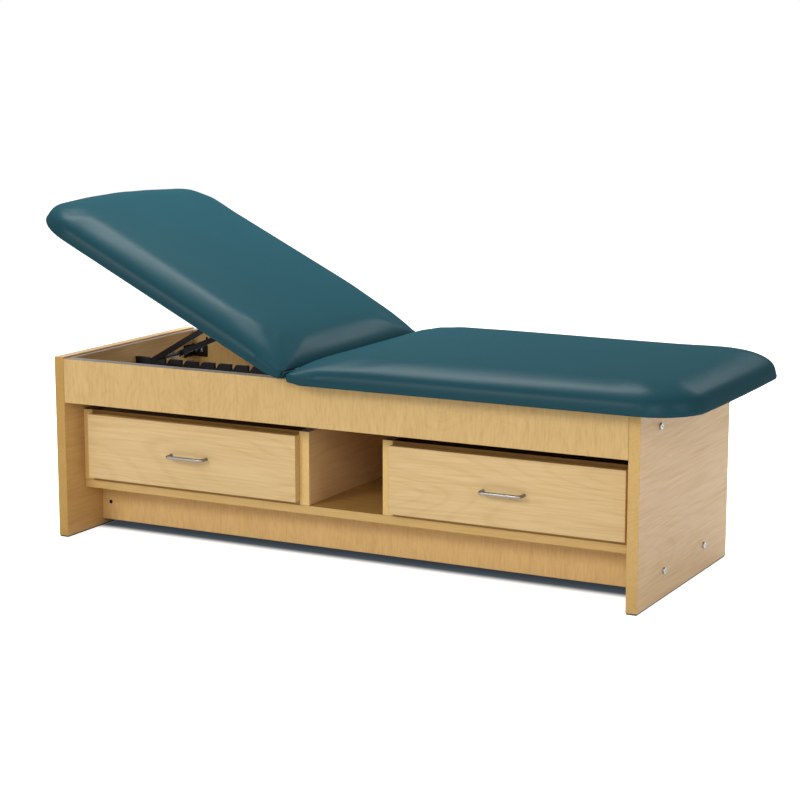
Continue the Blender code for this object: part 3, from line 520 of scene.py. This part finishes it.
# The bolts hold the end panels on. The upper four go through the cross rails and end in a
# washer and hex nut; the lower four screw into slotted barrel nuts that show on the kickboards.
BOLT_HEAD = 0.016
BOLT_RISE = 0.0040
BOLT_HEAD_GAP = 0.0003
BOLT_HEAD_ROUND = 0.0016
BOLT_SHANK = 0.008
SOCKET = 0.0052
SOCKET_LIFT = 0.0014
RAIL_GRIP = 0.0416
WASHER_RADIUS = 0.0088
WASHER_SHEET = 0.0012
WASHER_ROUND = 0.0004
NUT_RADIUS = 0.0075
NUT_HEIGHT = 0.0062
NUT_ROUND = 0.0008
BOLT_TAIL = 0.0072
TAIL_INSET = 0.0004
TAIL_START = 0.0006
THREAD_PITCH = 0.0012
THREAD_SWELL = 1.11
BARREL = 0.0100
BARREL_DEPTH = 0.0525
BARREL_LENGTH = 0.0264
BARREL_ROUND = 0.0008
BARREL_SLOT = (0.0016, 0.003, 0.012)
BOLT_PLACES = {"upper": (0.1725, 0.400), "lower": (0.131, 0.064)}

bolt_head = add_cylinder("bolt_head", 40, BOLT_HEAD / 2, BOLT_RISE, (0, 0, BOLT_RISE / 2 + BOLT_HEAD_GAP))
round_rim(bolt_head, lambda centre, normal: normal.z > FACING, BOLT_HEAD_ROUND, 4)
carve(bolt_head, add_cylinder("socket_cut", 6, SOCKET / 2, BOLT_RISE, (0, 0, BOLT_RISE + SOCKET_LIFT)))
bolt_head.data.materials.append(zinc_steel)

patterns = {}
for kind, length in (("upper", RAIL_GRIP + NUT_HEIGHT), ("lower", BARREL_DEPTH)):
    top = bpy.data.objects.new(kind + "_bolt_pattern", bolt_head.data.copy())
    scene.collection.objects.link(top)
    shank = add_cylinder("shank", 24, BOLT_SHANK / 2, length, (0, 0, -length / 2))
    shank.data.materials.append(zinc_steel)
    pieces = [top, shank]
    if kind == "upper":
        washer = add_cylinder("washer", 32, WASHER_RADIUS, WASHER_SHEET,
                              (0, 0, -RAIL_GRIP - WASHER_SHEET / 2))
        round_rim(washer, lambda centre, normal: normal.z < -FACING, WASHER_ROUND, 2)
        nut = add_cylinder("nut", 6, NUT_RADIUS, NUT_HEIGHT - WASHER_SHEET,
                           (0, 0, -RAIL_GRIP - NUT_HEIGHT / 2 - WASHER_SHEET / 2))
        round_rim(nut, lambda centre, normal: abs(normal.z) > FACING, NUT_ROUND, 2)
        tail = add_cylinder("tail", 24, BOLT_SHANK / 2 - TAIL_INSET, TAIL_START,
                            (0, 0, -length - TAIL_START / 2))
        pick_faces(tail, lambda centre, normal: normal.z < -FACING)
        for turn in range(int(BOLT_TAIL / THREAD_PITCH) * 2):
            wide = THREAD_SWELL if turn % 2 == 0 else 1 / THREAD_SWELL
            bpy.ops.mesh.extrude_region_move(TRANSFORM_OT_translate={"value": (0, 0, -THREAD_PITCH / 2)})
            bpy.ops.transform.resize(value=(wide, wide, 1))
        bpy.ops.object.mode_set(mode="OBJECT")
        for piece in (washer, nut, tail):
            piece.data.materials.append(zinc_steel)
        pieces += [washer, nut, tail]
    else:
        barrel = add_cylinder("barrel", 28, BARREL / 2, BARREL_LENGTH, (0, 0, -BARREL_DEPTH),
                              turn=(math.pi / 2, 0, 0))
        round_rim(barrel, lambda centre, normal: abs(normal.y) > FACING, BARREL_ROUND, 2)
        for side in (-1, 1):
            slot_place = (0, side * BARREL_LENGTH / 2, -BARREL_DEPTH)
            carve(barrel, add_block("slot_cut", BARREL_SLOT, slot_place))
        barrel.data.materials.append(black_steel)
        pieces.append(barrel)
    patterns[kind] = join_pieces(pieces)
    soften(patterns[kind])

for end, side_x in (("head", -1), ("foot", 1)):
    low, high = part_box(end + "_end_panel")
    face = high.x if side_x > 0 else low.x
    for place, side_y in (("front", -1), ("back", 1)):
        for kind, (spread, level) in BOLT_PLACES.items():
            node = "%s_%s_%s_bolt" % (end, place, kind)
            matrix = turned_at((face, side_y * spread, level), side_x * math.pi / 2, "Y")
            place_copy(patterns[kind], node + "_made", matrix, "base", "zinc_steel", node)
for pattern in (bolt_head, *patterns.values()):
    bpy.data.objects.remove(pattern)

# The drawers have a maple front with flowing grain and banded edges on a plain box, with a thin
# rail behind the front's lower edge, painted dark brown as the shade in that recess. Each runs
# on one zinc-plated steel channel.
DRAWER_RAIL = (0.0038, 0.0108)
DRAWER_RAIL_ROUND = 0.0006
RAIL_FLOOR_GAP = 0.0008
RAIL_FRONT_GAP = 0.0002
RAIL_SIDE_GAP = 0.002
# The rail's dark brown is painted shade.
RAIL_SHADE = ((0.40, 0.235, 0.075, 1), (0.32, 0.18, 0.055, 1))
rail_maple = wooden("drawer_rail_maple", "X", RAIL_SHADE, figure=0.05)
shelf_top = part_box("shelf")[1].z
for end in ("head", "foot"):
    drawer = end + "_drawer_"
    low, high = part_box(drawer + "front")
    front_maple = wooden(end + "_drawer_maple", "X", MAPLE_FRONT, figure=0.16, regions=[
        ("X", -1, low.x + EDGE_DEPTH, EDGE_BAND), ("X", 1, high.x - EDGE_DEPTH, EDGE_BAND),
        ("Z", 1, high.z - EDGE_DEPTH, EDGE_BAND), ("Z", -1, low.z + EDGE_DEPTH, EDGE_BAND)])
    finish_nodes(front_maple, drawer + "front")
    finish_nodes(wooden(end + "_box_side_maple", "Y", MAPLE_TAN, figure=0.08),
                 drawer + "left_side", drawer + "right_side")
    finish_nodes(wooden(end + "_box_maple", "X", MAPLE_TAN, figure=0.08), drawer + "back", drawer + "floor")
    finish_nodes(zinc_steel, end + "_runner_channel", end + "_runner_bar")
    depth, rise = DRAWER_RAIL
    width = high.x - low.x - 2 * RAIL_SIDE_GAP
    rail_place = ((low.x + high.x) / 2, high.y + RAIL_FRONT_GAP + depth / 2,
                  shelf_top + RAIL_FLOOR_GAP + rise / 2)
    rail = add_block(end + "_drawer_rail", (width, depth, rise), rail_place)
    round_rim(rail, lambda centre, normal: normal.z < -FACING, DRAWER_RAIL_ROUND, 2)
    rail.data.materials.append(rail_maple)
    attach(rail, end + "_drawer")

# The pulls are bent from round wire, brushed and nickel-plated. Each is screwed on from behind
# through its drawer front.
PULL_WIRE = 0.008
PULL_CENTRES = 0.1016
PULL_REACH = 0.024
PULL_BEND = 0.009
PULL_BEND_STEPS = 8
PULL_SIDES = 24
PULL_GAP = 0.0003
PULL_WELD = 0.00001
nickel = metal("brushed_nickel", (0.33, 0.315, 0.295, 1), (0.20, 0.19, 0.175, 1), metallic=1.0,
               roughness=(0.20, 0.18), stretch=(60, 1500, 1500))
for end in ("head", "foot"):
    low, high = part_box(end + "_drawer_front")
    left = (low.x + high.x - PULL_CENTRES) / 2
    foot = low.y - PULL_GAP
    level = (low.z + high.z) / 2
    straight = PULL_REACH - PULL_BEND
    bpy.ops.object.select_all(action="DESELECT")
    bpy.ops.mesh.primitive_circle_add(vertices=PULL_SIDES, radius=PULL_WIRE / 2, fill_type="NGON",
                                      location=(left, foot, level), rotation=(math.pi / 2, 0, 0))
    pull = new_piece(end + "_drawer_pull")
    bpy.ops.object.mode_set(mode="EDIT")
    bpy.ops.mesh.select_mode(type="FACE")
    bpy.ops.mesh.select_all(action="SELECT")
    for run, bend_x in (((0, -straight, 0), left + PULL_BEND),
                        ((PULL_CENTRES - 2 * PULL_BEND, 0, 0), left + PULL_CENTRES - PULL_BEND)):
        bpy.ops.mesh.extrude_region_move(TRANSFORM_OT_translate={"value": run})
        bpy.ops.mesh.spin(steps=PULL_BEND_STEPS, angle=-math.pi / 2,
                          center=(bend_x, foot - straight, level), axis=(0, 0, 1))
    bpy.ops.mesh.extrude_region_move(TRANSFORM_OT_translate={"value": (0, straight, 0)})
    bpy.ops.mesh.select_all(action="SELECT")
    bpy.ops.mesh.remove_doubles(threshold=PULL_WELD)
    bpy.ops.mesh.normals_make_consistent(inside=False)
    bpy.ops.object.mode_set(mode="OBJECT")
    pull.data.materials.append(nickel)
    soften(pull)
    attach(pull, end + "_drawer")
    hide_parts(end + "_drawer_handle")

# The pads rest on plywood decks, bare birch underneath. The seat's lies on the base, and a
# zinc-plated piano hinge joins the backrest's to it.
PLYWOOD = ((0.56, 0.40, 0.235, 1), (0.40, 0.265, 0.14, 1))
finish_nodes(wooden("deck_plywood", "X", PLYWOOD, figure=0.22), "seat_deck", "backrest_deck")
finish_nodes(zinc_steel, "hinge_seat_leaf", "hinge_back_leaf")

# The pads are foam under teal vinyl, pulled tight over the deck's edge. Each is smoothed from
# its firm form, pressed down and eased round towards the hinge, and then blown up like the
# real cover over its foam, with its underside held.
PAD_WELD = 0.00005
PAD_VOXEL = 0.006
PAD_SWELL_CAP = 0.004
PAD_PRESSURE = 4.0
PAD_FRAMES = 20
PAD_HELD_LEVEL = -0.018
PAD_HINGE_HELD_LEVEL = 0.002
HINGE_EASE_LENGTH = 0.075
HINGE_EASE_LEVEL = 0.010
HINGE_EASE_ROUNDS = 22
HINGE_SLOPE_LENGTH = 0.17
HINGE_SLOPE_DROP = 0.016
FOAM_HEIGHT = 0.034
FIRM_ROUNDS = 12
COVER_ROUNDS = 22
SMOOTH_IN = 0.5
SMOOTH_OUT = -0.53
VINYL_PALE = (0.0103, 0.0535, 0.0695, 1)
VINYL_DARK = (0.0088, 0.0475, 0.0620, 1)
VINYL_ROUGHNESS = (0.08, 0.40)
VINYL_COAT = {"Coat Weight": 0.06, "Coat Roughness": 0.33, "Coat IOR": 2.1}
VINYL_RELIEF = {"Strength": 0.10, "Distance": 0.0004}
CLOUDS = {"Scale": 9.0, "Detail": 3.0}
CREASES = {"Scale": 420.0, "Detail": 3.0}
PEBBLE_SCALE = 950.0

vinyl, tree = clear_material("teal_vinyl")
place = add_node(tree, "TexCoord").outputs["Object"]
clouds = add_node(tree, "TexNoise", {"Vector": place, **CLOUDS}).outputs[0]
pebbles = add_node(tree, "TexVoronoi", {"Vector": place, "Scale": PEBBLE_SCALE},
                   feature="SMOOTH_F1").outputs[0]
creases = add_node(tree, "TexNoise", {"Vector": place, **CREASES}).outputs[0]
bump = add_node(tree, "Bump", {"Height": maths(tree, "ADD", pebbles, creases), **VINYL_RELIEF})
surface(tree, {"Base Color": mixed(tree, clouds, VINYL_DARK, VINYL_PALE),
               "Roughness": weighted(tree, clouds, *VINYL_ROUGHNESS), "Specular IOR Level": 0.0,
               **VINYL_COAT, "Normal": bump.outputs[0], "Coat Normal": bump.outputs[0]})

hinge = next(joint for joint in frame["joints"] if joint["name"] == "backrest_hinge")
hinge_axis = np.array(hinge["pos_m"])
raised = -math.radians(hinge["range_deg"][0])
PAD_AXES = {"seat": ((1, 0, 0), (0, 0, 1)),
            "backrest": ((-math.cos(raised), 0, math.sin(raised)), (math.sin(raised), 0, math.cos(raised)))}


def mesh_points(mesh):
    points = np.empty(len(mesh.vertices) * 3)
    mesh.vertices.foreach_get("co", points)
    return points.reshape(-1, 3)


def move_points(mesh, points):
    mesh.vertices.foreach_set("co", points.astype(np.float32).ravel())
    mesh.update()


def pick_points(piece, wanted):
    """Enter edit mode with just the wanted points selected."""
    bpy.context.view_layer.objects.active = piece
    bpy.ops.object.mode_set(mode="EDIT")
    bpy.ops.mesh.select_mode(type="VERT")
    bpy.ops.mesh.select_all(action="DESELECT")
    bpy.ops.object.mode_set(mode="OBJECT")
    piece.data.vertices.foreach_set("select", [bool(pick) for pick in wanted])
    bpy.ops.object.mode_set(mode="EDIT")


def swell(pad, held):
    """Blow the cover up with its held points pinned, and let no point move past the cap."""
    start = mesh_points(pad.data)
    group = pad.vertex_groups.new(name="held")
    group.add([int(index) for index in np.flatnonzero(held)], 1.0, "REPLACE")
    cloth = pad.modifiers.new("swell", "CLOTH")
    cloth.settings.use_pressure = True
    cloth.settings.uniform_pressure_force = PAD_PRESSURE
    cloth.settings.effector_weights.gravity = 0
    cloth.settings.vertex_group_mass = "held"
    cloth.point_cache.frame_start = 1
    cloth.point_cache.frame_end = PAD_FRAMES
    for step in range(1, PAD_FRAMES + 1):
        scene.frame_set(step)
    bpy.ops.object.modifier_apply(modifier=cloth.name)
    scene.frame_set(1)
    moved = mesh_points(pad.data) - start
    reach = np.linalg.norm(moved, axis=1, keepdims=True)
    move_points(pad.data, start + moved * (PAD_SWELL_CAP / np.maximum(reach, PAD_SWELL_CAP)))
    pad.vertex_groups.clear()


for name in ("seat", "backrest"):
    along, up = (np.array(axis) for axis in PAD_AXES[name])
    pad = bpy.data.objects.new(name + "_pad", parts[name + "_cushion"].data.copy())
    scene.collection.objects.link(pad)
    bpy.ops.object.select_all(action="DESELECT")
    pad.select_set(True)
    bpy.context.view_layer.objects.active = pad
    bpy.ops.object.mode_set(mode="EDIT")
    bpy.ops.mesh.select_all(action="SELECT")
    bpy.ops.mesh.remove_doubles(threshold=PAD_WELD)
    bpy.ops.object.mode_set(mode="OBJECT")
    pad.data.remesh_voxel_size = PAD_VOXEL
    bpy.ops.object.voxel_remesh()
    points = mesh_points(pad.data) - hinge_axis
    to_hinge = np.clip(1 - points @ along / HINGE_SLOPE_LENGTH, 0, 1) ** 2
    in_foam = np.clip((points @ up - HINGE_EASE_LEVEL) / FOAM_HEIGHT, 0, 1)
    points = points - HINGE_SLOPE_DROP * (to_hinge * in_foam)[:, None] * up
    move_points(pad.data, points + hinge_axis)
    at_hinge = points @ along < HINGE_EASE_LENGTH
    free = points @ up > np.where(at_hinge, PAD_HINGE_HELD_LEVEL, PAD_HELD_LEVEL)
    pick_points(pad, at_hinge & (points @ up > HINGE_EASE_LEVEL))
    bpy.ops.mesh.vertices_smooth(factor=SMOOTH_IN, repeat=HINGE_EASE_ROUNDS)
    bpy.ops.mesh.select_all(action="SELECT")
    for _ in range(FIRM_ROUNDS):
        bpy.ops.mesh.vertices_smooth(factor=SMOOTH_IN, repeat=1)
        bpy.ops.mesh.vertices_smooth(factor=SMOOTH_OUT, repeat=1)
    bpy.ops.object.mode_set(mode="OBJECT")
    pad.data.shade_smooth()
    swell(pad, ~free)
    pick_points(pad, free)
    bpy.ops.mesh.vertices_smooth(factor=SMOOTH_IN, repeat=COVER_ROUNDS)
    bpy.ops.object.mode_set(mode="OBJECT")
    pad.data.materials.clear()
    pad.data.materials.append(vinyl)
    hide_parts(name + "_cushion")
    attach(pad, "base" if name == "seat" else "backrest")

# The vinyl is folded over the deck's edge on its three free sides and stapled underneath in a
# row. At the hinge end a tuck of it covers each corner of the plywood beside the hinge.
HEM_WIDTH = 0.038
HEM_SHEET = 0.0012
HEM_GAP = 0.0002
DECK_CORNER = 0.1067
CORNER_STEPS = 10
TUCK = 0.0045
TUCK_START = 0.2815
TUCK_ROUND = 0.0018
STAPLE = (0.010, 0.0012, 0.0008)
STAPLE_ROUND = 0.0003
STAPLE_PITCH = 0.036
STAPLE_INSET = 0.028
STAPLE_START = 0.05
CORNER_STAPLES = (0.26, 0.79, 1.31)


def deck_frame(name):
    """From a deck's own axes, along it from the hinge and up through its pad, to the couch's."""
    along, up = PAD_AXES[name]
    return Matrix([[along[0], 0, up[0], hinge_axis[0]], [0, 1, 0, hinge_axis[1]],
                   [along[2], 0, up[2], hinge_axis[2]], [0, 0, 0, 1]])


staple = add_block("staple_pattern", STAPLE, (0, 0, -STAPLE[2] / 2))
round_rim(staple, lambda centre, normal: normal.z < -FACING, STAPLE_ROUND, 1)
staple.data.materials.append(zinc_steel)
for name, body in (("seat", "base"), ("backrest", "backrest")):
    to_couch = deck_frame(name)
    deck = parts[name + "_deck"].data.copy()
    deck.transform(to_couch.inverted())
    low, high = mesh_points(deck).min(axis=0), mesh_points(deck).max(axis=0)
    near, far, half = low[0], high[0], high[1]
    under = low[2] - HEM_GAP
    bpy.data.meshes.remove(deck)
    bpy.ops.object.select_all(action="DESELECT")
    bpy.ops.mesh.primitive_plane_add(size=1.0, location=((near + far) / 2, 0, under))
    bpy.ops.transform.resize(value=(far - near, 2 * half, 1))
    hem = new_piece(name + "_hem")
    pick_points(hem, [vertex.co.x > near + HEM_WIDTH for vertex in hem.data.vertices])
    bpy.ops.mesh.bevel(offset=DECK_CORNER, segments=CORNER_STEPS, affect="VERTICES")
    bpy.ops.object.mode_set(mode="OBJECT")
    pick_faces(hem, lambda centre, normal: True)
    bpy.ops.mesh.inset(thickness=HEM_WIDTH)
    bpy.ops.mesh.delete(type="FACE")
    bpy.ops.object.mode_set(mode="OBJECT")
    pick_faces(hem, lambda centre, normal: centre.x < near + HEM_WIDTH)
    bpy.ops.mesh.delete(type="FACE")
    bpy.ops.object.mode_set(mode="OBJECT")
    skin = hem.modifiers.new("skin", "SOLIDIFY")
    skin.thickness = HEM_SHEET
    skin.offset = -1.0
    bpy.context.view_layer.objects.active = hem
    bpy.ops.object.modifier_apply(modifier=skin.name)
    folds = [hem]
    tuck_end = half - HEM_GAP
    for side in (-1, 1):
        tuck_place = (near - HEM_GAP - TUCK / 2, side * (TUCK_START + tuck_end) / 2, under / 2)
        tuck = add_block("tuck", (TUCK, tuck_end - TUCK_START, -under), tuck_place)
        round_rim(tuck, lambda centre, normal: normal.x < -FACING, TUCK_ROUND, 3)
        folds.append(tuck)
    hem = join_pieces(folds)
    hem.data.materials.append(vinyl)
    soften(hem)
    bend = half - DECK_CORNER
    turn_in = far - DECK_CORNER
    reach = DECK_CORNER - STAPLE_INSET
    row = [(x, side * (half - STAPLE_INSET), 0.0) for side in (-1, 1)
           for x in np.arange(near + STAPLE_START, turn_in, STAPLE_PITCH)]
    row += [(far - STAPLE_INSET, y, math.pi / 2) for y in np.arange(-bend, bend, STAPLE_PITCH)]
    row += [(turn_in + reach * math.cos(turn), side * (bend + reach * math.sin(turn)),
             side * (turn + math.pi / 2)) for side in (-1, 1) for turn in CORNER_STAPLES]
    staples = []
    for x, y, turn in row:
        piece = bpy.data.objects.new(name + "_staple", staple.data.copy())
        piece.data.transform(turned_at((x, y, under - HEM_SHEET), turn, "Z"))
        scene.collection.objects.link(piece)
        staples.append(piece)
    staples = join_pieces(staples)
    staples.name = name + "_staples"
    for piece, slot in ((hem, "vinyl"), (staples, "zinc_steel")):
        set_mesh(piece, to_couch)
        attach(piece, body)
bpy.data.objects.remove(staple)

# The rack is a bar of black steel along the middle of the base, held between the head rail and
# the mid rail. The prop's foot rod drops into its hooked notches.
RACK_PITCH = 0.050
RACK_TOOTH = 0.014
RACK_END = 0.008
RACK_ROUND = 0.0010
NOTCH_BOTTOM = 0.0045
NOTCH_TOP = 0.0165
NOTCH_WIDTH = 0.02
NOTCH_SPARE = 0.002
ROD_PLACE = -0.6829
ROD_RADIUS = 0.0045
low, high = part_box("rack")
middle = [(first + second) / 2 for first, second in zip(low, high)]
rack = add_block("rack_bar", [second - first for first, second in zip(low, high)], middle)
notch = ROD_PLACE - ROD_RADIUS
while notch - RACK_PITCH > low.x + RACK_END:
    notch -= RACK_PITCH
while notch + RACK_PITCH < high.x:
    notch_place = (notch + NOTCH_BOTTOM / 2, 0, high.z - RACK_TOOTH / 2 + NOTCH_SPARE / 2)
    cutter = add_block("notch_cut", (NOTCH_BOTTOM, NOTCH_WIDTH, RACK_TOOTH + NOTCH_SPARE), notch_place)
    pick_points(cutter, [vertex.co.x > notch_place[0] and vertex.co.z > high.z
                         for vertex in cutter.data.vertices])
    bpy.ops.transform.translate(value=(NOTCH_TOP - NOTCH_BOTTOM, 0, 0))
    bpy.ops.object.mode_set(mode="OBJECT")
    carve(rack, cutter)
    notch += RACK_PITCH
edges = rack.modifiers.new("edges", "BEVEL")
edges.width = RACK_ROUND
edges.segments = 2
edges.limit_method = "ANGLE"
bpy.context.view_layer.objects.active = rack
bpy.ops.object.modifier_apply(modifier=edges.name)
rack.data.materials.append(black_steel)
soften(rack)
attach(rack, "base")
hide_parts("rack")

# The prop is a wishbone of two black steel bars on pins in brackets that are screwed under the
# backrest deck, with a rod between its feet and a small catch peg on its back bar.
PEG_PLACE = (-0.6226, 0.0942, 0.4610)
PEG_RADIUS = 0.0028
PEG_LENGTH = 0.014
PEG_ROUND = 0.0012
PEG_SIDES = 20
BRACKET_SCREWS = (0.2475, 0.2867)
BRACKET_SPREAD = 0.2295
BRACKET_UNDER = -0.0204
finish_nodes(black_steel, "prop_foot_rod", "front_prop_leg", "back_prop_leg", "front_prop_bracket",
             "back_prop_bracket")
peg = add_cylinder("prop_peg", PEG_SIDES, PEG_RADIUS, PEG_LENGTH, PEG_PLACE)
round_rim(peg, lambda centre, normal: normal.z > FACING, PEG_ROUND, 3)
peg.data.materials.append(black_steel)
soften(peg)
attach(peg, "prop")
for place, side in (("front", -1), ("back", 1)):
    for count, reach in enumerate(BRACKET_SCREWS):
        matrix = deck_frame("backrest") @ turned_at((reach, side * BRACKET_SPREAD, BRACKET_UNDER),
                                                    math.pi, "X")
        place_copy(screw, "%s_bracket_screw_%d" % (place, count), matrix, "backrest", "zinc_steel")
bpy.data.objects.remove(screw)

# The couch's size as it looks.
low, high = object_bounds()
